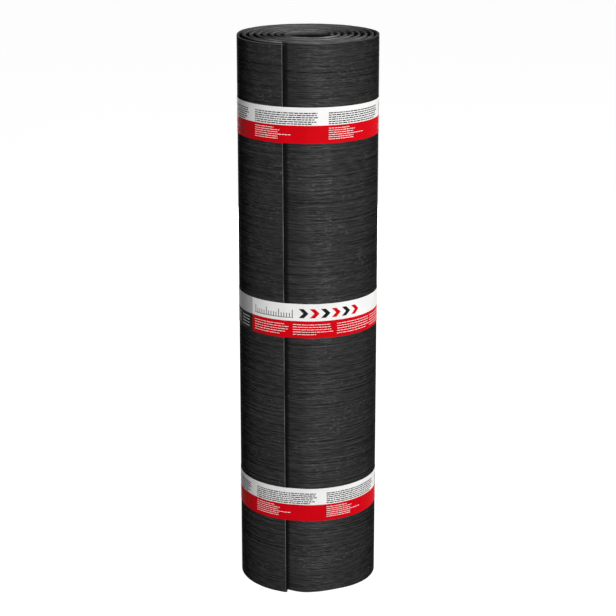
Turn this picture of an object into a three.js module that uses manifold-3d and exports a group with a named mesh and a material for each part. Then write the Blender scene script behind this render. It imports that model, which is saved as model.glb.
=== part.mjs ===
// A roll of bitumen roofing felt standing on one end, held shut by three printed paper bands.
// Millimetres, +Z up. The origin is on the floor, under the middle of the roll, and -Y is the front.

import * as THREE from 'three';
import { mergeVertices } from 'three/addons/utils/BufferGeometryUtils.js';
import Module from 'manifold-3d';

// The felt: one long sheet, wound into a roll. Its length is counted in turns, inwards from the free edge.
const SHEET_WIDTH = 1000;
const SHEET_THICKNESS = 4;
const ROLL_RADIUS = 124;
const LAP_ANGLE = THREE.MathUtils.degToRad(252); // the free edge runs down the front, a little to the left
const LAP_LEAN = 3.8; // and at its top it stands this much further left
const TURNS = 7.75;
const TUCK = [0.95, 1.03]; // over this stretch the first turn dips, to pass under the free edge
const CLOSE_GAP = 5.2;
const CLOSE_TURNS = 1.41; // the turns lie close as far as this, and are looser inside it
const LOOSE_PITCH = 11.75;
const DRIFT = 3.3; // the loose turns sit this far off centre, towards +X
const SLIP = 3; // the first turn has slid this far down the roll
const FOOT_EASE = [0.7, 0.85]; // over this stretch the sheet's foot climbs back to the level of the rest
const HEAD_EASE = [0.15, 0.27]; // its head only hangs low near the free edge, and climbs back over this one

// The winding stays open to this depth at both ends, and is closed between them
const OPEN_DEPTH = 30;

// The bands: paper, pulled tight round the roll
const BAND_WIDTH = 62;
const BAND_THICKNESS = 0.3;
const BAND_GAP = 0.3;
const BAND_HEIGHTS = { band_bottom: 174, band_middle: 518, band_top: 863 };

const STEPS_PER_TURN = 60;

const wasm = await Module();
wasm.setup();

// Distance from the winding's axis to the middle of the sheet
function sheetRadius(turn) {
  const outside = ROLL_RADIUS - SHEET_THICKNESS / 2;
  const tuck = (SHEET_THICKNESS + CLOSE_GAP) * THREE.MathUtils.smoothstep(turn, ...TUCK);
  const loosening = LOOSE_PITCH * Math.max(0, turn - CLOSE_TURNS);
  return outside - tuck - loosening;
}

// Plan position on the winding, offset outwards from the middle of the sheet
function windingPoint(turn, offset = 0) {
  const angle = LAP_ANGLE - 2 * Math.PI * turn;
  const radius = sheetRadius(turn) + offset;
  const drift = DRIFT * THREE.MathUtils.smoothstep(turn, 1, 2);
  return new THREE.Vector2(drift + radius * Math.cos(angle), radius * Math.sin(angle));
}

// Heights of the sheet's lower and upper edges above the floor
function sheetEdges(turn) {
  const foot = SLIP * THREE.MathUtils.smoothstep(turn, ...FOOT_EASE);
  const head = SHEET_WIDTH + SLIP * THREE.MathUtils.smoothstep(turn, ...HEAD_EASE);
  return [foot, head];
}

// Points along the winding, a step apart, from one number of turns to another
function alongWinding(from, to, offset) {
  const steps = Math.round((to - from) * STEPS_PER_TURN);
  return Array.from({ length: steps + 1 }, (_, i) => windingPoint(from + (to - from) * i / steps, offset));
}

function toSolid(geometry) {
  const plain = geometry.clone();
  plain.deleteAttribute('normal');
  plain.deleteAttribute('uv');
  const merged = mergeVertices(plain);
  const vertProperties = Float32Array.from(merged.attributes.position.array);
  const triVerts = Uint32Array.from(merged.index.array);
  return new wasm.Manifold(new wasm.Mesh({ numProp: 3, vertProperties, triVerts }));
}

function toGeometry(solid) {
  const mesh = solid.getMesh();
  const geometry = new THREE.BufferGeometry();
  geometry.setAttribute('position', new THREE.BufferAttribute(mesh.vertProperties, 3));
  geometry.setIndex(new THREE.BufferAttribute(mesh.triVerts, 1));
  geometry.computeVertexNormals();
  return geometry;
}

// The sheet itself: its cross-section, a tall thin rectangle, swept along the winding
function sheetGeometry() {
  const half = SHEET_THICKNESS / 2;
  const section = [[-half, 0], [half, 0], [half, 1], [-half, 1]]; // offset, and 0 at the foot or 1 at the head
  const steps = Math.round(TURNS * STEPS_PER_TURN);
  const corners = [];
  const index = [];
  for (let i = 0; i <= steps; i++) {
    const turn = TURNS * i / steps;
    const lean = i === 0 ? LAP_LEAN / (2 * Math.PI * ROLL_RADIUS) : 0;
    for (const [offset, level] of section) {
      const point = windingPoint(turn + lean * level, offset);
      corners.push(new THREE.Vector3(point.x, point.y, sheetEdges(turn)[level]));
    }
    for (let c = 0; c < 4 && i < steps; c++) {
      const here = 4 * i + c;
      const next = 4 * i + (c + 1) % 4;
      index.push(here, next, here + 4, next, next + 4, here + 4);
    }
  }
  const last = 4 * steps;
  index.push(0, 2, 1, 0, 3, 2, last, last + 1, last + 2, last, last + 2, last + 3);
  return new THREE.BufferGeometry().setFromPoints(corners).setIndex(index);
}

// Fills the winding between its open ends, from the middle of the first turn to the middle of the last
function windingBody() {
  const inset = 0.01;
  const outline = new THREE.Shape(alongWinding(inset, 1 + inset).reverse()); // anticlockwise
  outline.holes.push(new THREE.Path(alongWinding(TURNS - 1 - inset, TURNS - inset)));
  const depth = SHEET_WIDTH - 2 * OPEN_DEPTH;
  return new THREE.ExtrudeGeometry(outline, { depth, bevelEnabled: false }).translate(0, 0, SLIP + OPEN_DEPTH);
}

// The tightest loop round a set of plan points: their convex hull, anticlockwise
function tightLoop(points) {
  const sorted = [...points].sort((a, b) => a.x - b.x || a.y - b.y);
  const chain = (list) => {
    const hull = [];
    for (const point of list) {
      while (hull.length > 1) {
        const edge = hull.at(-1).clone().sub(hull.at(-2));
        if (edge.cross(point.clone().sub(hull.at(-1))) > 0) break;
        hull.pop();
      }
      hull.push(point);
    }
    return hull.slice(0, -1);
  };
  return [...chain(sorted), ...chain(sorted.reverse())];
}

// A band follows the outside of the roll, and bridges the step at the free edge
function bandGeometry() {
  const loop = tightLoop(alongWinding(0, 1, SHEET_THICKNESS / 2));
  const grow = (distance) => loop.map((point) => point.clone().setLength(point.length() + distance));
  const outline = new THREE.Shape(grow(BAND_GAP + BAND_THICKNESS));
  outline.holes.push(new THREE.Path(grow(BAND_GAP)));
  return new THREE.ExtrudeGeometry(outline, { depth: BAND_WIDTH, bevelEnabled: false });
}

const felt = new THREE.MeshStandardMaterial({ color: 0x2a2a2b, roughness: 0.8, metalness: 0 });
const printedPaper = new THREE.MeshStandardMaterial({ color: 0xe30b20, roughness: 0.5, metalness: 0 });

function feltRoll() {
  const solid = toSolid(sheetGeometry()).add(toSolid(windingBody()));
  const mesh = new THREE.Mesh(toGeometry(solid), felt);
  mesh.name = 'felt_roll';
  return mesh;
}

function band(name) {
  const mesh = new THREE.Mesh(bandGeometry(), printedPaper);
  mesh.name = name;
  mesh.position.z = BAND_HEIGHTS[name] - BAND_WIDTH / 2;
  return mesh;
}

const roll = new THREE.Group();
roll.add(feltRoll(), ...Object.keys(BAND_HEIGHTS).map(band));

export default roll;
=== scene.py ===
"""A roll of bitumen roofing felt standing on one end, held shut by three printed paper bands."""

import math
import random

import bpy
import numpy as np
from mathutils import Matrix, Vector
from mathutils.geometry import convex_hull_2d, delaunay_2d_cdt


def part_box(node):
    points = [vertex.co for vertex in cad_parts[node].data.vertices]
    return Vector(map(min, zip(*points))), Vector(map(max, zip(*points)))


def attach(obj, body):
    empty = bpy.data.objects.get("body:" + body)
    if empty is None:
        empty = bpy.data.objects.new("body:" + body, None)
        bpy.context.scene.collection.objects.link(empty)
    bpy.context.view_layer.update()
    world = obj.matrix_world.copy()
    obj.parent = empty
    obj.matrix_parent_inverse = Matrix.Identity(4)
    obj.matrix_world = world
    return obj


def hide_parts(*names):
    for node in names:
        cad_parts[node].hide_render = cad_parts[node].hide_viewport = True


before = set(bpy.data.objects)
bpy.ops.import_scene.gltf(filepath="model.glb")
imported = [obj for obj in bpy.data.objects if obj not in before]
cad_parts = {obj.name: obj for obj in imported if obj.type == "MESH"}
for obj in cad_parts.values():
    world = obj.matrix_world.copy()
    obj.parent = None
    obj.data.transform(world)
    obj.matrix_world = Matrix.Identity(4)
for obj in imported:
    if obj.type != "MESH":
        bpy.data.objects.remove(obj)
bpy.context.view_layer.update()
scene = bpy.context.scene
scene.view_settings.view_transform = "Standard"

# ---------------------------------------------------------------------------
# Camera, room and studio light
# The roll stands alone on a plain white floor in a white room. One high lamp, to the right of the
# camera, lights it. Low soft boxes at the sides and the back only keep those flanks from going black.

CAMERA_DISTANCE = 3.2416
CAMERA_HEIGHT = 1.4498
CAMERA_DIP = math.radians(16.23)
CAMERA_LENS = 109.13

camera = bpy.data.objects.new("camera", bpy.data.cameras.new("camera"))
camera.data.lens = CAMERA_LENS
camera.location = (0, -CAMERA_DISTANCE, CAMERA_HEIGHT)
camera.rotation_euler = (math.pi / 2 - CAMERA_DIP, 0, 0)
scene.collection.objects.link(camera)
scene.camera = camera


def node(tree, kind, inputs, **settings):
    """Adds a shader node. An input is a plain value, or the output socket that feeds it."""
    made = tree.nodes.new("ShaderNode" + kind)
    for name, value in settings.items():
        setattr(made, name, value)
    for socket, value in inputs.items():
        if isinstance(value, bpy.types.NodeSocket):
            tree.links.new(value, made.inputs[socket])
        else:
            made.inputs[socket].default_value = value
    return made


def reckon(tree, operation, *values):
    """One sum in a material, on plain values or output sockets."""
    return node(tree, "Math", dict(enumerate(values)), operation=operation).outputs[0]


def seen_directly(tree):
    """1 where the camera sees a surface itself, in a mirror or through glass, and 0 elsewhere."""
    path = node(tree, "LightPath", {}).outputs
    seen = reckon(tree, "MAXIMUM", path["Is Camera Ray"], path["Is Glossy Ray"])
    return reckon(tree, "MAXIMUM", seen, path["Is Transmission Ray"])


WHITE_LIGHT = (1, 1, 1, 1)
ROOM_SHOWN = 1.0
ROOM_LIGHT = 0.05

room = bpy.data.worlds.new("white room")
scene.world = room
room.use_nodes = True
tree = room.node_tree
tree.nodes.clear()
shown = node(tree, "Background", {"Color": WHITE_LIGHT, "Strength": ROOM_SHOWN})
shed = node(tree, "Background", {"Color": WHITE_LIGHT, "Strength": ROOM_LIGHT})
walls = node(tree, "MixShader", {0: seen_directly(tree), 1: shed.outputs[0], 2: shown.outputs[0]})
node(tree, "OutputWorld", {"Surface": walls.outputs[0]})

# The floor is matt grey, to catch the roll's shadow, and a glow that lights nothing shows it white
FLOOR_SIZE = 40.0
FLOOR_GREY = (0.45, 0.45, 0.45, 1)
FLOOR_GLOW = 0.95

edge = FLOOR_SIZE / 2
floor_corners = [(-edge, -edge, 0), (edge, -edge, 0), (edge, edge, 0), (-edge, edge, 0)]
floor_mesh = bpy.data.meshes.new("floor")
floor_mesh.from_pydata(floor_corners, [], [(0, 1, 2, 3)])
floor = bpy.data.objects.new("floor", floor_mesh)
scene.collection.objects.link(floor)

floor_paint = bpy.data.materials.new("white floor")
floor_paint.use_nodes = True
tree = floor_paint.node_tree
tree.nodes.clear()
matt = node(tree, "BsdfDiffuse", {"Color": FLOOR_GREY})
glow = node(tree, "Emission", {"Strength": reckon(tree, "MULTIPLY", seen_directly(tree), FLOOR_GLOW)})
white = node(tree, "AddShader", {0: matt.outputs[0], 1: glow.outputs[0]})
node(tree, "OutputMaterial", {"Surface": white.outputs[0]})
floor_mesh.materials.append(floor_paint)

LIT_MIDDLE = Vector((0, 0, 0.5))


def soft_box(name, azimuth, elevation, distance, width, height, power):
    """A lamp that faces the middle of the roll. Azimuth 0 is the camera's side of it, 90 the right."""
    data = bpy.data.lights.new(name, "AREA")
    data.shape = "RECTANGLE"
    data.size, data.size_y = width, height
    data.energy = power
    lamp = bpy.data.objects.new(name, data)
    turn, lift = math.radians(azimuth), math.radians(elevation)
    away = Vector((math.sin(turn) * math.cos(lift), -math.cos(turn) * math.cos(lift), math.sin(lift)))
    lamp.location = LIT_MIDDLE + distance * away
    lamp.rotation_euler = (-away).to_track_quat("-Z", "Y").to_euler()
    scene.collection.objects.link(lamp)


soft_box("high lamp", azimuth=21, elevation=20, distance=4.5, width=1.0, height=1.0, power=176)
soft_box("right soft box", azimuth=100, elevation=0, distance=3.0, width=1.2, height=0.9, power=8)
soft_box("left soft box", azimuth=-110, elevation=0, distance=3.0, width=1.2, height=0.9, power=8)
soft_box("back soft box", azimuth=185, elevation=0, distance=3.0, width=2.4, height=0.9, power=50)

# ---------------------------------------------------------------------------
# The felt
# One sheet of bitumen felt a metre wide, 4 mm thick with a glass fleece inside, wound up without a
# core tube. Its free edge laps down the front. The first turn is close and has slid a little down
# the roll, and the turns inside it have sprung loose.

# The winding. A place along the sheet is counted in turns, inwards from its free edge
SHEET_WIDTH = 1.0
SHEET_THICKNESS = 0.004
ROLL_RADIUS = 0.124
TURNS = 7.75
LAP_ANGLE = math.radians(252)  # the free edge runs down the front, a little to the left
LAP_LEAN = 0.0038  # at its top it stands this much further left
SKIVE = 0.002  # the knife was held aslant, which sets its outer corner back by this much
LEAN_FADES_BY = 0.04  # sections further in than this stand upright
TUCK = (0.95, 1.03)  # over this stretch the first turn dips, to pass under the free edge
CLOSE_GAP = 0.0052  # between the first turn and the next
CLOSE_TURNS = 1.41  # the turns lie close as far as this
LOOSE_PITCH = 0.01175  # from each loose turn to the next
LOOSE_FROM = (1.3, 2.2)  # over this stretch the turns begin to wander and to sink
WANDER = 0.0008
WANDER_LENGTHS = (0.61, 0.37, 0.23)
WANDER_SKEW = 0.2  # the wander moves on by this much from the foot of the sheet to its head
DRIFT = 0.0033  # the loose turns sit this far off centre, to the right
DRIFT_OVER = (1, 2)

# How far the sheet's foot and head lie from level
SLIP = 0.003  # the first turn has slid this far down the roll
FOOT_EASE = (0.7, 0.85)  # over this stretch its foot climbs back to the level of the rest
HEAD_EASE = (0.15, 0.27)  # and its head over this one
LOOSE_SLIP = 0.0006  # the loose turns have sunk by anything up to twice this
LOOSE_SLIP_LENGTHS = (1.9, 0.83, 0.41)
CUT_WAVE = 0.00025  # the cut edges waver inwards by anything up to twice this
CUT_WAVE_DEPTH = 0.02
FOOT_WAVE_LENGTHS = (0.31, 0.12, 0.047, 0.022)
HEAD_WAVE_LENGTHS = (0.27, 0.13, 0.051, 0.019)
FOOT_HUMP = 0.0017  # beside the lap the foot arches up off the floor
HUMP_AT = 0.885
HUMP_WIDTH = 0.045
HUMP_DEPTH = 0.15

# The worn corners of the sheet, and the points that its mesh is made of
ARRIS = 0.0005
ARRIS_MIDDLE = 0.00013  # the middle of the round lies this far in from both of its faces
FACE_ROWS = (0.004, 0.012, 0.03, 0.06, 0.1, 0.16, 0.24, 0.33, 0.42, 0.5)
STATIONS_PER_TURN = 720
COARSE = 5  # every fifth station is used, and all of them where the first turn dips

half_thick = SHEET_THICKNESS / 2
full_turn = 2 * math.pi * ROLL_RADIUS


def smoothstep(value, low, high):
    share = np.clip((value - low) / (high - low), 0, 1)
    return share * share * (3 - 2 * share)


def ripple(place, lengths, height, seed):
    """An uneven wave that stays within the height: a few sines of these lengths."""
    draw = random.Random(seed)
    waves = sum(np.sin(2 * math.pi * (place / length + draw.random())) for length in lengths)
    return height / len(lengths) * waves


def winding_place(turn, offset, level):
    """Plan position this many turns in from the free edge, offset outwards from the sheet's middle."""
    tuck = (SHEET_THICKNESS + CLOSE_GAP) * smoothstep(turn, *TUCK)
    loosening = LOOSE_PITCH * np.maximum(0, turn - CLOSE_TURNS)
    wander = ripple(turn + WANDER_SKEW * level, WANDER_LENGTHS, WANDER, seed=4)
    wander = wander * smoothstep(turn, *LOOSE_FROM)
    radius = ROLL_RADIUS - half_thick - tuck - loosening + wander + offset
    angle = LAP_ANGLE - 2 * math.pi * turn
    drift = DRIFT * smoothstep(turn, *DRIFT_OVER)
    return drift + radius * np.cos(angle), radius * np.sin(angle)


# The section of the sheet, from the foot of its outer face over the top and down the inner face
bend = np.radians([0, 30, 60, 90])
foot_corner = [(half_thick - ARRIS * (1 - math.sin(a)), ARRIS * (1 - math.cos(a))) for a in bend]
outer_face = foot_corner + [(half_thick, row) for row in FACE_ROWS]
outer_face += [(offset, SHEET_WIDTH - row) for offset, row in outer_face[-2::-1]]
offsets, levels = np.array(outer_face + [(-offset, row) for offset, row in outer_face[::-1]]).T

# The stations along the sheet, with three in the worn corner at each end, where the section shrinks
corner = np.array([0, ARRIS_MIDDLE, ARRIS]) / full_turn
coarse = np.arange(COARSE, TURNS * STATIONS_PER_TURN, COARSE)
fine = np.arange(round(TUCK[0] * STATIONS_PER_TURN), TUCK[1] * STATIONS_PER_TURN)
turns = np.concatenate([corner, np.union1d(coarse, fine) / STATIONS_PER_TURN, TURNS - corner[::-1]])
stations = turns[:, None]
shrink = np.zeros_like(stations)
shrink[[0, 1, -1, -2], 0] = ARRIS, ARRIS_MIDDLE, ARRIS, ARRIS_MIDDLE

# Plan places: a row of section points for each station
lean = (LAP_LEAN * levels / SHEET_WIDTH + SKIVE * (offsets / SHEET_THICKNESS + 0.5)) / full_turn
turn = stations + lean * (1 - smoothstep(stations, 0, LEAN_FADES_BY))
offset = offsets * (1 - shrink / half_thick)
level = SHEET_WIDTH / 2 + (levels - SHEET_WIDTH / 2) * (1 - 2 * shrink / SHEET_WIDTH)
x, y = winding_place(turn, offset, level)
steps = np.hypot(np.diff(x[:, 0]), np.diff(y[:, 0]))
along = np.concatenate([[0], np.cumsum(steps)])

# Heights: the slips move whole stations, and the cut waves and the hump fade away from the edges
foot, head = SLIP * smoothstep(stations, *FOOT_EASE), SLIP * smoothstep(stations, *HEAD_EASE)
loose_slip = LOOSE_SLIP + ripple(stations, LOOSE_SLIP_LENGTHS, LOOSE_SLIP, seed=8)
loose_slip = loose_slip * smoothstep(stations, *LOOSE_FROM)
foot_wave = CUT_WAVE + ripple(along[:, None], FOOT_WAVE_LENGTHS, CUT_WAVE, seed=11)
head_wave = CUT_WAVE + ripple(along[:, None], HEAD_WAVE_LENGTHS, CUT_WAVE, seed=12)
hump = FOOT_HUMP * np.exp(-(((stations - HUMP_AT) / HUMP_WIDTH) ** 2))
z = level + foot + (head - foot) * level / SHEET_WIDTH - loose_slip
z += foot_wave * np.exp(-level / CUT_WAVE_DEPTH) + hump * np.exp(-level / HUMP_DEPTH)
z -= head_wave * np.exp((level - SHEET_WIDTH) / CUT_WAVE_DEPTH)

# Faces that run round the section, from each station to the next, and then across both ends
rows, columns = x.shape
i, j = np.mgrid[0:rows - 1, 0:columns]
here, there, after = i * columns, (i + 1) * columns, (j + 1) % columns
around = np.stack([here + j, here + after, there + after, there + j], -1).reshape(-1, 4)
k = np.arange(columns // 2 - 1)
free_end = np.stack([columns - 1 - k, columns - 2 - k, k + 1, k], -1)
inner_end = free_end[:, ::-1] + (rows - 1) * columns
faces = np.concatenate([around, free_end, inner_end])
station, point = faces // columns, faces % columns

# The side of the sheet that each face lies on, named after its finish
COMBED, DUSTED_SHADED, TORN, SHADED_END, COVERED_SHADE, HIGHLIT_CORNER = range(6)
next_offsets = np.roll(offsets, -1)
section_sides = np.where(np.minimum(offsets, next_offsets) == half_thick, COMBED, TORN)
section_sides[np.maximum(offsets, next_offsets) == -half_thick] = DUSTED_SHADED
sides = np.append(np.tile(section_sides, rows - 1), np.full(len(free_end) + len(inner_end), SHADED_END))

# The finishes are those of the sides, but the outer face is painted near-black as shade where it is
# covered, and the worn corners at both ends of the sheet are painted pale as a highlight
COVERED_FROM = 1.01
starts = station[:, 0]
highlit_steps = len(corner) - 1
finishes = sides.copy()
finishes[(sides == COMBED) & (turns[starts] > COVERED_FROM)] = COVERED_SHADE
# The corner steps at both ends of the sheet take the painted highlight
finishes[(sides != SHADED_END) & ((starts < highlit_steps) | (starts >= rows - 1 - highlit_steps))] = HIGHLIT_CORNER

# The map gives metres along the sheet and up it, on a cut edge metres along it and across it, and on
# an end metres up it and across it. The underside is mapped well apart from the outer face
UNDERSIDE_APART = 10
side = sides[:, None]
map_u = np.where(side == SHADED_END, levels[point], along[station]) + UNDERSIDE_APART * (side == DUSTED_SHADED)
map_v = np.where((side == TORN) | (side == SHADED_END), offsets[point], levels[point])

felt_mesh = bpy.data.meshes.new("felt_sheet")
felt_mesh.from_pydata(np.stack([x, y, z], -1).reshape(-1, 3).tolist(), [], faces.tolist())
felt_mesh.polygons.foreach_set("material_index", finishes)
felt_mesh.polygons.foreach_set("use_smooth", np.ones(len(faces), bool))
felt_map = felt_mesh.uv_layers.new(name="sheet")
felt_map.uv.foreach_set("vector", np.stack([map_u, map_v], -1).astype(np.float32).ravel())
felt = bpy.data.objects.new("felt_sheet", felt_mesh)
scene.collection.objects.link(felt)
felt.modifiers.new("crisp cut edges", "WEIGHTED_NORMAL")


def finish(name, roughness, specular):
    """Starts a material, and gives it with its node tree and its shader."""
    material = bpy.data.materials.new(name)
    material.use_nodes = True
    tree = material.node_tree
    shader = tree.nodes["Principled BSDF"]
    shader.inputs["Roughness"].default_value = roughness
    shader.inputs["Specular IOR Level"].default_value = specular
    return material, tree, shader


def on_sheet(tree):
    """The place on the sheet, from its map."""
    return node(tree, "UVMap", {}, uv_map="sheet").outputs["UV"]


def ramp(tree, value, start, end, first=0.0, last=1.0):
    """Runs from first to last as the value goes from start to end, and stays level beyond them."""
    inputs = {"Value": value, "From Min": start, "From Max": end, "To Min": first, "To Max": last}
    return node(tree, "MapRange", inputs).outputs[0]


def marks(tree, place, along, across, low, high, detail=2.0):
    """Random marks, this many a metre along the sheet and across it, stretched to run from 0 to 1."""
    spread = node(tree, "Mapping", {"Vector": place, "Scale": (along, across, across)})
    noise = node(tree, "TexNoise", {"Vector": spread.outputs[0], "Scale": 1.0, "Detail": detail})
    return ramp(tree, noise.outputs["Fac"], low, high)


def weigh(tree, *parts):
    """The sum of (output, weight) pairs."""
    total = 0.0
    for part, weight in parts:
        total = reckon(tree, "MULTIPLY_ADD", part, weight, total)
    return total


def beside_cut(tree, place, full_to, gone_by):
    """1 on the strip of a face beside its cut edge, up to one depth, and 0 from the other depth on."""
    height = node(tree, "SeparateXYZ", {"Vector": place}).outputs["Y"]
    from_middle = reckon(tree, "ABSOLUTE", reckon(tree, "SUBTRACT", height, SHEET_WIDTH / 2))
    return ramp(tree, from_middle, SHEET_WIDTH / 2 - gone_by, SHEET_WIDTH / 2 - full_to)


def paint(tree, shader, tone, first, second):
    """Colours a finish from the first colour, at a tone of 0, to the second at 1, and on beyond it."""
    mix = node(tree, "Mix", {"Factor": tone}, data_type="RGBA", clamp_factor=False)
    mix.inputs["A"].default_value = (*first, 1)
    mix.inputs["B"].default_value = (*second, 1)
    tree.links.new(mix.outputs["Result"], shader.inputs["Base Color"])


def emboss(tree, shader, height, depth):
    """Raises a finish by this depth, in metres, where the height is 1."""
    bump = node(tree, "Bump", {"Height": height, "Distance": depth})
    tree.links.new(bump.outputs[0], shader.inputs["Normal"])


# Outer face: bitumen, combed lengthwise by the rollers, and dusted with a little sand that lies in
# drifts. It shines faintly, as dull black metal does, with no haze at its rim. It is bruised pale at
# the cut edges. Just before it passes under the free edge, a strip is darkened with painted shadow:
# the shade beside the step of the free edge
BRUISED_TO, BRUISED_BY = 0.0009, 0.0014
# Where the painted shadow beside the free edge begins, where it is full, and how dark it gets
SEAM_SHADE_FROM, SEAM_SHADE_BY = 0.0045, 0.001
SEAM_SHADE_TONE = 0.4
full_lap = float(np.interp(1, turns, along))

combed, tree, shader = finish("combed bitumen", roughness=0.4, specular=0.0)
shader.inputs["Metallic"].default_value = 0.35
shader.inputs["Specular Tint"].default_value = (0, 0, 0, 1)
place = on_sheet(tree)
combing = marks(tree, place, along=3, across=290, low=0.34, high=0.66)
strands = marks(tree, place, along=45, across=420, low=0.38, high=0.62, detail=1.0)
drags = marks(tree, place, along=3, across=130, low=0.35, high=0.65, detail=0.0)
patches = marks(tree, place, along=5, across=9, low=0.3, high=0.7)
grain = marks(tree, place, along=1500, across=1800, low=0.3, high=0.7, detail=1.0)
specks = marks(tree, place, along=130, across=300, low=0.6, high=0.72, detail=0.0)
drifts = marks(tree, place, along=14, across=22, low=0.48, high=0.66, detail=1.0)
sand = reckon(tree, "MULTIPLY", specks, drifts)
bruised = beside_cut(tree, place, BRUISED_TO, BRUISED_BY)
metres = node(tree, "SeparateXYZ", {"Vector": place}).outputs["X"]
# Painted shadow: the strip beside the free edge's step is darkened in colour
seam_shade = ramp(tree, metres, full_lap - SEAM_SHADE_FROM, full_lap - SEAM_SHADE_BY, 1.0, SEAM_SHADE_TONE)
streaks = weigh(tree, (combing, 0.45), (strands, 0.3), (drags, 0.12), (patches, 0.06))
tone = weigh(tree, (streaks, 1.0), (sand, 0.6), (grain, 0.15), (bruised, 1.8))
tone = reckon(tree, "MULTIPLY", tone, seam_shade)
paint(tree, shader, tone, (0.0075, 0.0075, 0.0077), (0.053, 0.053, 0.0543))
relief = weigh(tree, (combing, 1.0), (strands, 1.3), (drags, 0.4), (sand, 0.6), (grain, 0.1))
emboss(tree, shader, relief, 0.0006)

# Inside the roll the same face is painted near-black, as painted shade between the turns, without
# sand, and only its brim is scuffed pale
SCUFFED_UNSHADED_TO, SCUFFED_SHADED_BY = 0.0016, 0.003

covered_shade, tree, shader = finish("covered bitumen with painted shade", roughness=0.85, specular=0.0)
place = on_sheet(tree)
combing = marks(tree, place, along=3, across=290, low=0.34, high=0.66)
scuffs = marks(tree, place, along=30, across=200, low=0.3, high=0.7)
# Painted shade: away from the scuffed brim the colour fades to near-black, for the gaps between turns
brim_and_shade = beside_cut(tree, place, SCUFFED_UNSHADED_TO, SCUFFED_SHADED_BY)
tone = reckon(tree, "MULTIPLY", weigh(tree, (combing, 0.5), (scuffs, 0.5)), brim_and_shade)
paint(tree, shader, tone, (0.004, 0.004, 0.0041), (0.42, 0.42, 0.42))
emboss(tree, shader, combing, 0.00015)

# Both ends of the sheet are painted near-black, as painted shade on the end face of the free edge
shaded_end, tree, shader = finish("end painted black as shade", roughness=0.6, specular=0.0)
shader.inputs["Base Color"].default_value = (0.006, 0.006, 0.0062, 1)

# The corners beside those ends are painted pale, here more and there less: a painted highlight
# along the corner of the free edge
highlit_corner, tree, shader = finish("corner with painted highlight", roughness=0.75, specular=0.05)
tone = marks(tree, on_sheet(tree), along=100, across=14, low=0.3, high=0.7)
paint(tree, shader, tone, (0.06, 0.06, 0.06), (0.26, 0.26, 0.256))

# Underside: the same bitumen, dusted so that the turns don't stick. The dust shows pale near the
# cut edges, and deeper in it fades to near-black as painted shade in the gaps between the turns
DUST_UNSHADED_TO, DUST_SHADED_BY = 0.0015, 0.0085

dusted_shaded, tree, shader = finish("dusted underside with painted shade", roughness=0.8, specular=0.05)
place = on_sheet(tree)
dust = marks(tree, place, along=900, across=900, low=0.35, high=0.65)
clouds = marks(tree, place, along=20, across=60, low=0.3, high=0.7)
# Painted shade: deeper than the brim the pale dust fades to near-black, for the gaps and the bore
brim_and_shade = beside_cut(tree, place, DUST_UNSHADED_TO, DUST_SHADED_BY)
tone = reckon(tree, "MULTIPLY", weigh(tree, (dust, 0.4), (clouds, 0.5)), brim_and_shade)
paint(tree, shader, tone, (0.006, 0.006, 0.0062), (0.38, 0.38, 0.38))
emboss(tree, shader, dust, 0.00015)

# Cut edges: torn bitumen, greyer than the faces, with the pale fleece showing along the middle
FLEECE_TO, FLEECE_BY = 0.00012, 0.0004

torn, tree, shader = finish("cut edge", roughness=0.75, specular=0.05)
place = on_sheet(tree)
crumbs = marks(tree, place, along=700, across=900, low=0.35, high=0.65)
clouds = marks(tree, place, along=45, across=200, low=0.3, high=0.7)
breaks = marks(tree, place, along=120, across=60, low=0.4, high=0.6)
from_middle = reckon(tree, "ABSOLUTE", node(tree, "SeparateXYZ", {"Vector": place}).outputs["Y"])
fleece = reckon(tree, "MULTIPLY", ramp(tree, from_middle, FLEECE_BY, FLEECE_TO), breaks)
tone = weigh(tree, (crumbs, 0.35), (clouds, 0.4), (fleece, 0.5))
paint(tree, shader, tone, (0.03, 0.03, 0.03), (0.15, 0.15, 0.147))
emboss(tree, shader, crumbs, 0.0003)

for material in (combed, dusted_shaded, torn, shaded_end, covered_shade, highlit_corner):
    felt_mesh.materials.append(material)
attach(felt, "root")
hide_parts("felt_roll")

# ---------------------------------------------------------------------------
# The wrap bands
# Three strips of printed paper, pulled tight round the roll, so they bridge the step at the felt's
# free edge. Each is glued to itself where its ends lap at the back. The print is rows of dashes, and
# on the middle band a ruler and arrowheads too.

PAPER_THICKNESS = 0.00015
PAPER_GAP = 0.00025
GLUED_LAP = 0.025
LAP_RAMP = 0.01
LAP_RAISES = 0.00017
FOLD_EVERY = 0.003
DEGREE = 1 / 360

# The tightest loop round the roll, walked from the back past the left to the front and the right
outside = [winding_place(t, half_thick, SHEET_WIDTH / 2) for t in np.arange(0, TUCK[1], DEGREE)]
loop = np.array(outside)[convex_hull_2d([Vector(map(float, p)) for p in outside])]
azimuths = np.arctan2(loop[:, 0], -loop[:, 1])
loop, azimuths = loop[np.argsort(azimuths)], np.sort(azimuths)
gaps = np.hypot(*(np.roll(loop, -1, axis=0) - loop).T)
girth = gaps.sum()
walked = np.cumsum(gaps) - gaps
front = np.interp(0, azimuths, walked)

# The strip follows that loop at its own height above the felt, with its last end on top of its first
strip = girth + GLUED_LAP
lap_starts = strip / 2 - GLUED_LAP
folds = np.append(np.arange(-strip / 2, strip / 2, FOLD_EVERY), strip / 2)
path = [np.interp(folds + front, walked, loop[:, c], period=girth) for c in (0, 1)]
slopes = [np.gradient(c, folds) for c in path]
stretch = np.hypot(*slopes)
raised = LAP_RAISES * smoothstep(folds, lap_starts - LAP_RAMP, lap_starts)
lift = PAPER_GAP + PAPER_THICKNESS / 2 + raised
path_x = path[0] + slopes[1] / stretch * lift
path_y = path[1] - slopes[0] / stretch * lift


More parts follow.
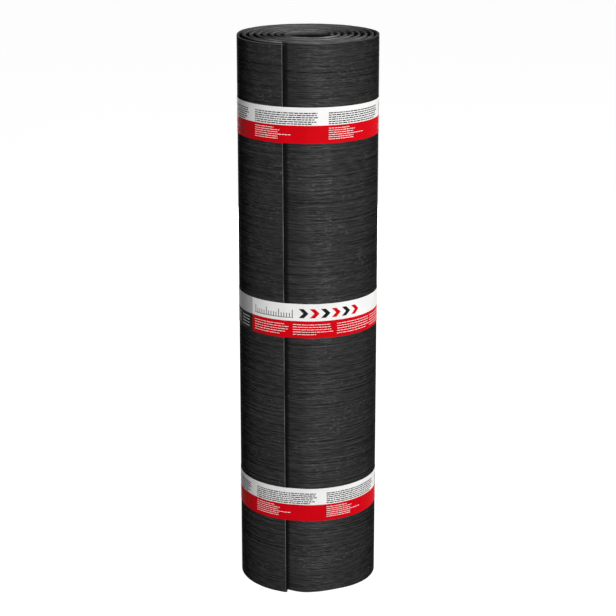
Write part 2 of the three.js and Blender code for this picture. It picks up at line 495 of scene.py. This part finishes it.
def printed(name, light, dark, specular):
    """Uncoated paper, or ink that has sunk into it: even, with faint fibres and soft handling marks."""
    material, tree, shader = finish(name, roughness=0.6, specular=specular)
    shader.inputs["Diffuse Roughness"].default_value = 0.5
    place = node(tree, "TexCoord", {}).outputs["Object"]
    fibres = marks(tree, place, along=700, across=900, low=0.35, high=0.65)
    clouds = marks(tree, place, along=25, across=40, low=0.35, high=0.7)
    paint(tree, shader, weigh(tree, (fibres, 0.4), (clouds, 0.6)), light, dark)
    emboss(tree, shader, fibres, 0.00002)
    return material


WHITE, RED, BLACK, GREY = range(4)
print_finishes = (
    printed("bare paper", (0.9, 0.9, 0.89), (0.82, 0.82, 0.81), specular=0.15),
    printed("red ink", (0.7, 0.0015, 0.008), (0.62, 0.0012, 0.007), specular=0.03),
    printed("black ink", (0.012, 0.012, 0.013), (0.02, 0.02, 0.02), specular=0.02),
    printed("grey ink", (0.52, 0.52, 0.53), (0.46, 0.46, 0.47), specular=0.15),
)

WORD_LENGTHS = (0.0025, 0.009)
WORD_SPACE = 0.0011
SHORTEST_WORD = 0.0003  # of those that the end of a line or of the strip cuts off
WELD = 1e-7
ONLY_INSIDE = 1


def rectangle(left, right, bottom, top):
    """The corners of a rectangle, from its lower left."""
    return [(left, bottom), (right, bottom), (right, top), (left, top)]


# Print is placed in metres along a band, from its front to the right, and up it. A panel of ink is
# (ink, left, right, bottom, top), from one share of the band's width to another. A line of dashes is
# (ink, left, right, middle, thickness). A figure is (ink, corners), and stays within the strip
def band(name, panels, lines, figures):
    """A wrap band with its print. What comes later lies on top."""
    low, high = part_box(name)
    width = high.z - low.z
    draw = random.Random(name)
    corners, shapes, inks = [], [], []

    def shape(ink, points):
        shapes.append(list(range(len(corners), len(corners) + len(points))))
        corners.extend(Vector(p) for p in points)
        inks.append(ink)

    def block(ink, left, right, bottom, top):
        left, right = max(left, -strip / 2), min(right, strip / 2)
        if right - left > SHORTEST_WORD:
            shape(ink, rectangle(left, right, bottom, top))

    block(WHITE, -strip / 2, strip / 2, 0, width)
    for ink, left, right, bottom, top in panels:
        block(ink, left, right, bottom * width, top * width)
    for ink, left, right, middle, thick in lines:
        while left < right:
            word = min(draw.uniform(*WORD_LENGTHS), right - left)
            block(ink, left, left + word, middle - thick / 2, middle + thick / 2)
            left += word + WORD_SPACE
    for ink, points in figures:
        shape(ink, points)
    creases = []
    for fold in folds[1:-1]:
        creases.append((len(corners), len(corners) + 1))
        corners.extend((Vector((fold, 0)), Vector((fold, width))))

    # The strip is cut up along every outline and crease, and each face knows the shapes it lies in
    flat, _, faces, _, _, within = delaunay_2d_cdt(corners, creases, shapes, ONLY_INSIDE, WELD, True)
    mesh = bpy.data.meshes.new(name + "_paper")
    places = [(np.interp(p.x, folds, path_x), np.interp(p.x, folds, path_y), low.z + p.y) for p in flat]
    mesh.from_pydata(places, [], faces)
    mesh.polygons.foreach_set("material_index", [inks[max(covers)] for covers in within])
    mesh.polygons.foreach_set("use_smooth", np.ones(len(faces), bool))
    for material in print_finishes:
        mesh.materials.append(material)
    paper = bpy.data.objects.new(name + "_paper", mesh)
    scene.collection.objects.link(paper)
    thickness = paper.modifiers.new("paper thickness", "SOLIDIFY")
    thickness.thickness = PAPER_THICKNESS
    thickness.offset = 0
    paper.modifiers.new("crisp paper edges", "WEIGHTED_NORMAL")
    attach(paper, "root")
    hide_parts(name)


# The outer bands: white above red, with the same two paragraphs over and over. A paragraph is the
# middle height and the length of each of its lines
BOLD, FINE = 0.0019, 0.001
REPEAT = 0.1366
FIRST_PRINT = -0.101
BOTTOM_PRINT_SHIFT = -0.002
BLACK_PARAGRAPH = (
    (0.0522, 0.117), (0.0485, 0.116), (0.0448, 0.119),
    (0.0411, 0.112), (0.0373, 0.115), (0.0337, 0.107),
)
WHITE_PARAGRAPH = (
    (0.0261, 0.040), (0.0223, 0.051), (0.0186, 0.048),
    (0.0149, 0.071), (0.0112, 0.048), (0.0076, 0.048),
)

halves = [(RED, -strip / 2, strip / 2, 0, 0.5)]
for name, shift in (("band_bottom", BOTTOM_PRINT_SHIFT), ("band_top", 0)):
    lines = []
    for k in range(-3, 4):
        left = FIRST_PRINT + REPEAT * k + shift
        lines += [(BLACK, left, left + length, middle, BOLD) for middle, length in BLACK_PARAGRAPH]
        lines += [(WHITE, left, left + length, middle, FINE) for middle, length in WHITE_PARAGRAPH]
    band(name, halves, lines, [])

# The middle band: the same halves, but for one stretch of grey above black. Its red half has three
# paragraphs in turn, given as the middle height of each line and its length in each of the three
STRETCH = (-0.292, -0.112)
FIRST_COLUMN = -0.1056
COLUMN_PITCH = 0.079
THREE_PARAGRAPHS = (
    (0.0244, (0.064, 0.066, 0.074)),
    (0.0200, (0.071, 0.067, 0.076)),
    (0.0155, (0.070, 0.068, 0.074)),
    (0.0111, (0.065, 0.071, 0.078)),
    (0.0067, (0.055, 0.041, 0.066)),
)
STRETCH_LINES = (0.0238, 0.0182, 0.0126, 0.0070)
STRETCH_COLUMNS = ((-0.286, -0.252), (-0.240, -0.206), (-0.190, -0.158), (-0.148, -0.121))
STRETCH_WEIGHT = 0.0011

panels = halves + [(GREY, *STRETCH, 0.5, 1), (BLACK, *STRETCH, 0, 0.5)]
lines = []
for middle, lengths in THREE_PARAGRAPHS:
    for k in range(-5, 7):
        left = FIRST_COLUMN + COLUMN_PITCH * k
        right = left + lengths[k % 3]
        if right < STRETCH[0] or left > STRETCH[1]:
            lines.append((WHITE, left, right, middle, FINE))
for middle in STRETCH_LINES:
    lines += [(WHITE, left, right, middle, STRETCH_WEIGHT) for left, right in STRETCH_COLUMNS]

# Its white half has a plain ruler, then six arrowheads that point along the band, and both once more
# further on
FIGURES_AT = (0, 0.3)
RULER = (-0.1045, -0.0261, 0.0365, 0.0375)
FIRST_TICK, TICK_STEP, TICKS = -0.1035, 0.005, 16
TICK_WIDTH, TICK_FOOT = 0.0014, 0.037
SHORT_TICK, LONG_TICK, LONG_EVERY = 0.008, 0.014, 5
FIRST_ARROW, ARROW_STEP, ARROWS = -0.0165, 0.0195, 6
ARROW_FOOT, ARROW_HEIGHT, ARROW_THICK = 0.0365, 0.0166, 0.009


def arrowhead(left, bottom):
    """The corners of an arrowhead, from its lower left."""
    tip, thick = ARROW_HEIGHT / 2, ARROW_THICK
    outline = [(0, 0), (thick, 0), (thick + tip, tip), (thick, 2 * tip), (0, 2 * tip), (tip, tip)]
    return [(left + a, bottom + b) for a, b in outline]


figures = []
for start in FIGURES_AT:
    left, right, bottom, top = RULER
    figures.append((BLACK, rectangle(start + left, start + right, bottom, top)))
    for k in range(TICKS):
        left = start + FIRST_TICK + TICK_STEP * k
        height = SHORT_TICK if k % LONG_EVERY else LONG_TICK
        figures.append((BLACK, rectangle(left, left + TICK_WIDTH, TICK_FOOT, TICK_FOOT + height)))
    for k in range(ARROWS):
        left = start + FIRST_ARROW + ARROW_STEP * k
        figures.append((RED if k % 2 else BLACK, arrowhead(left, ARROW_FOOT)))
band("band_middle", panels, lines, figures)
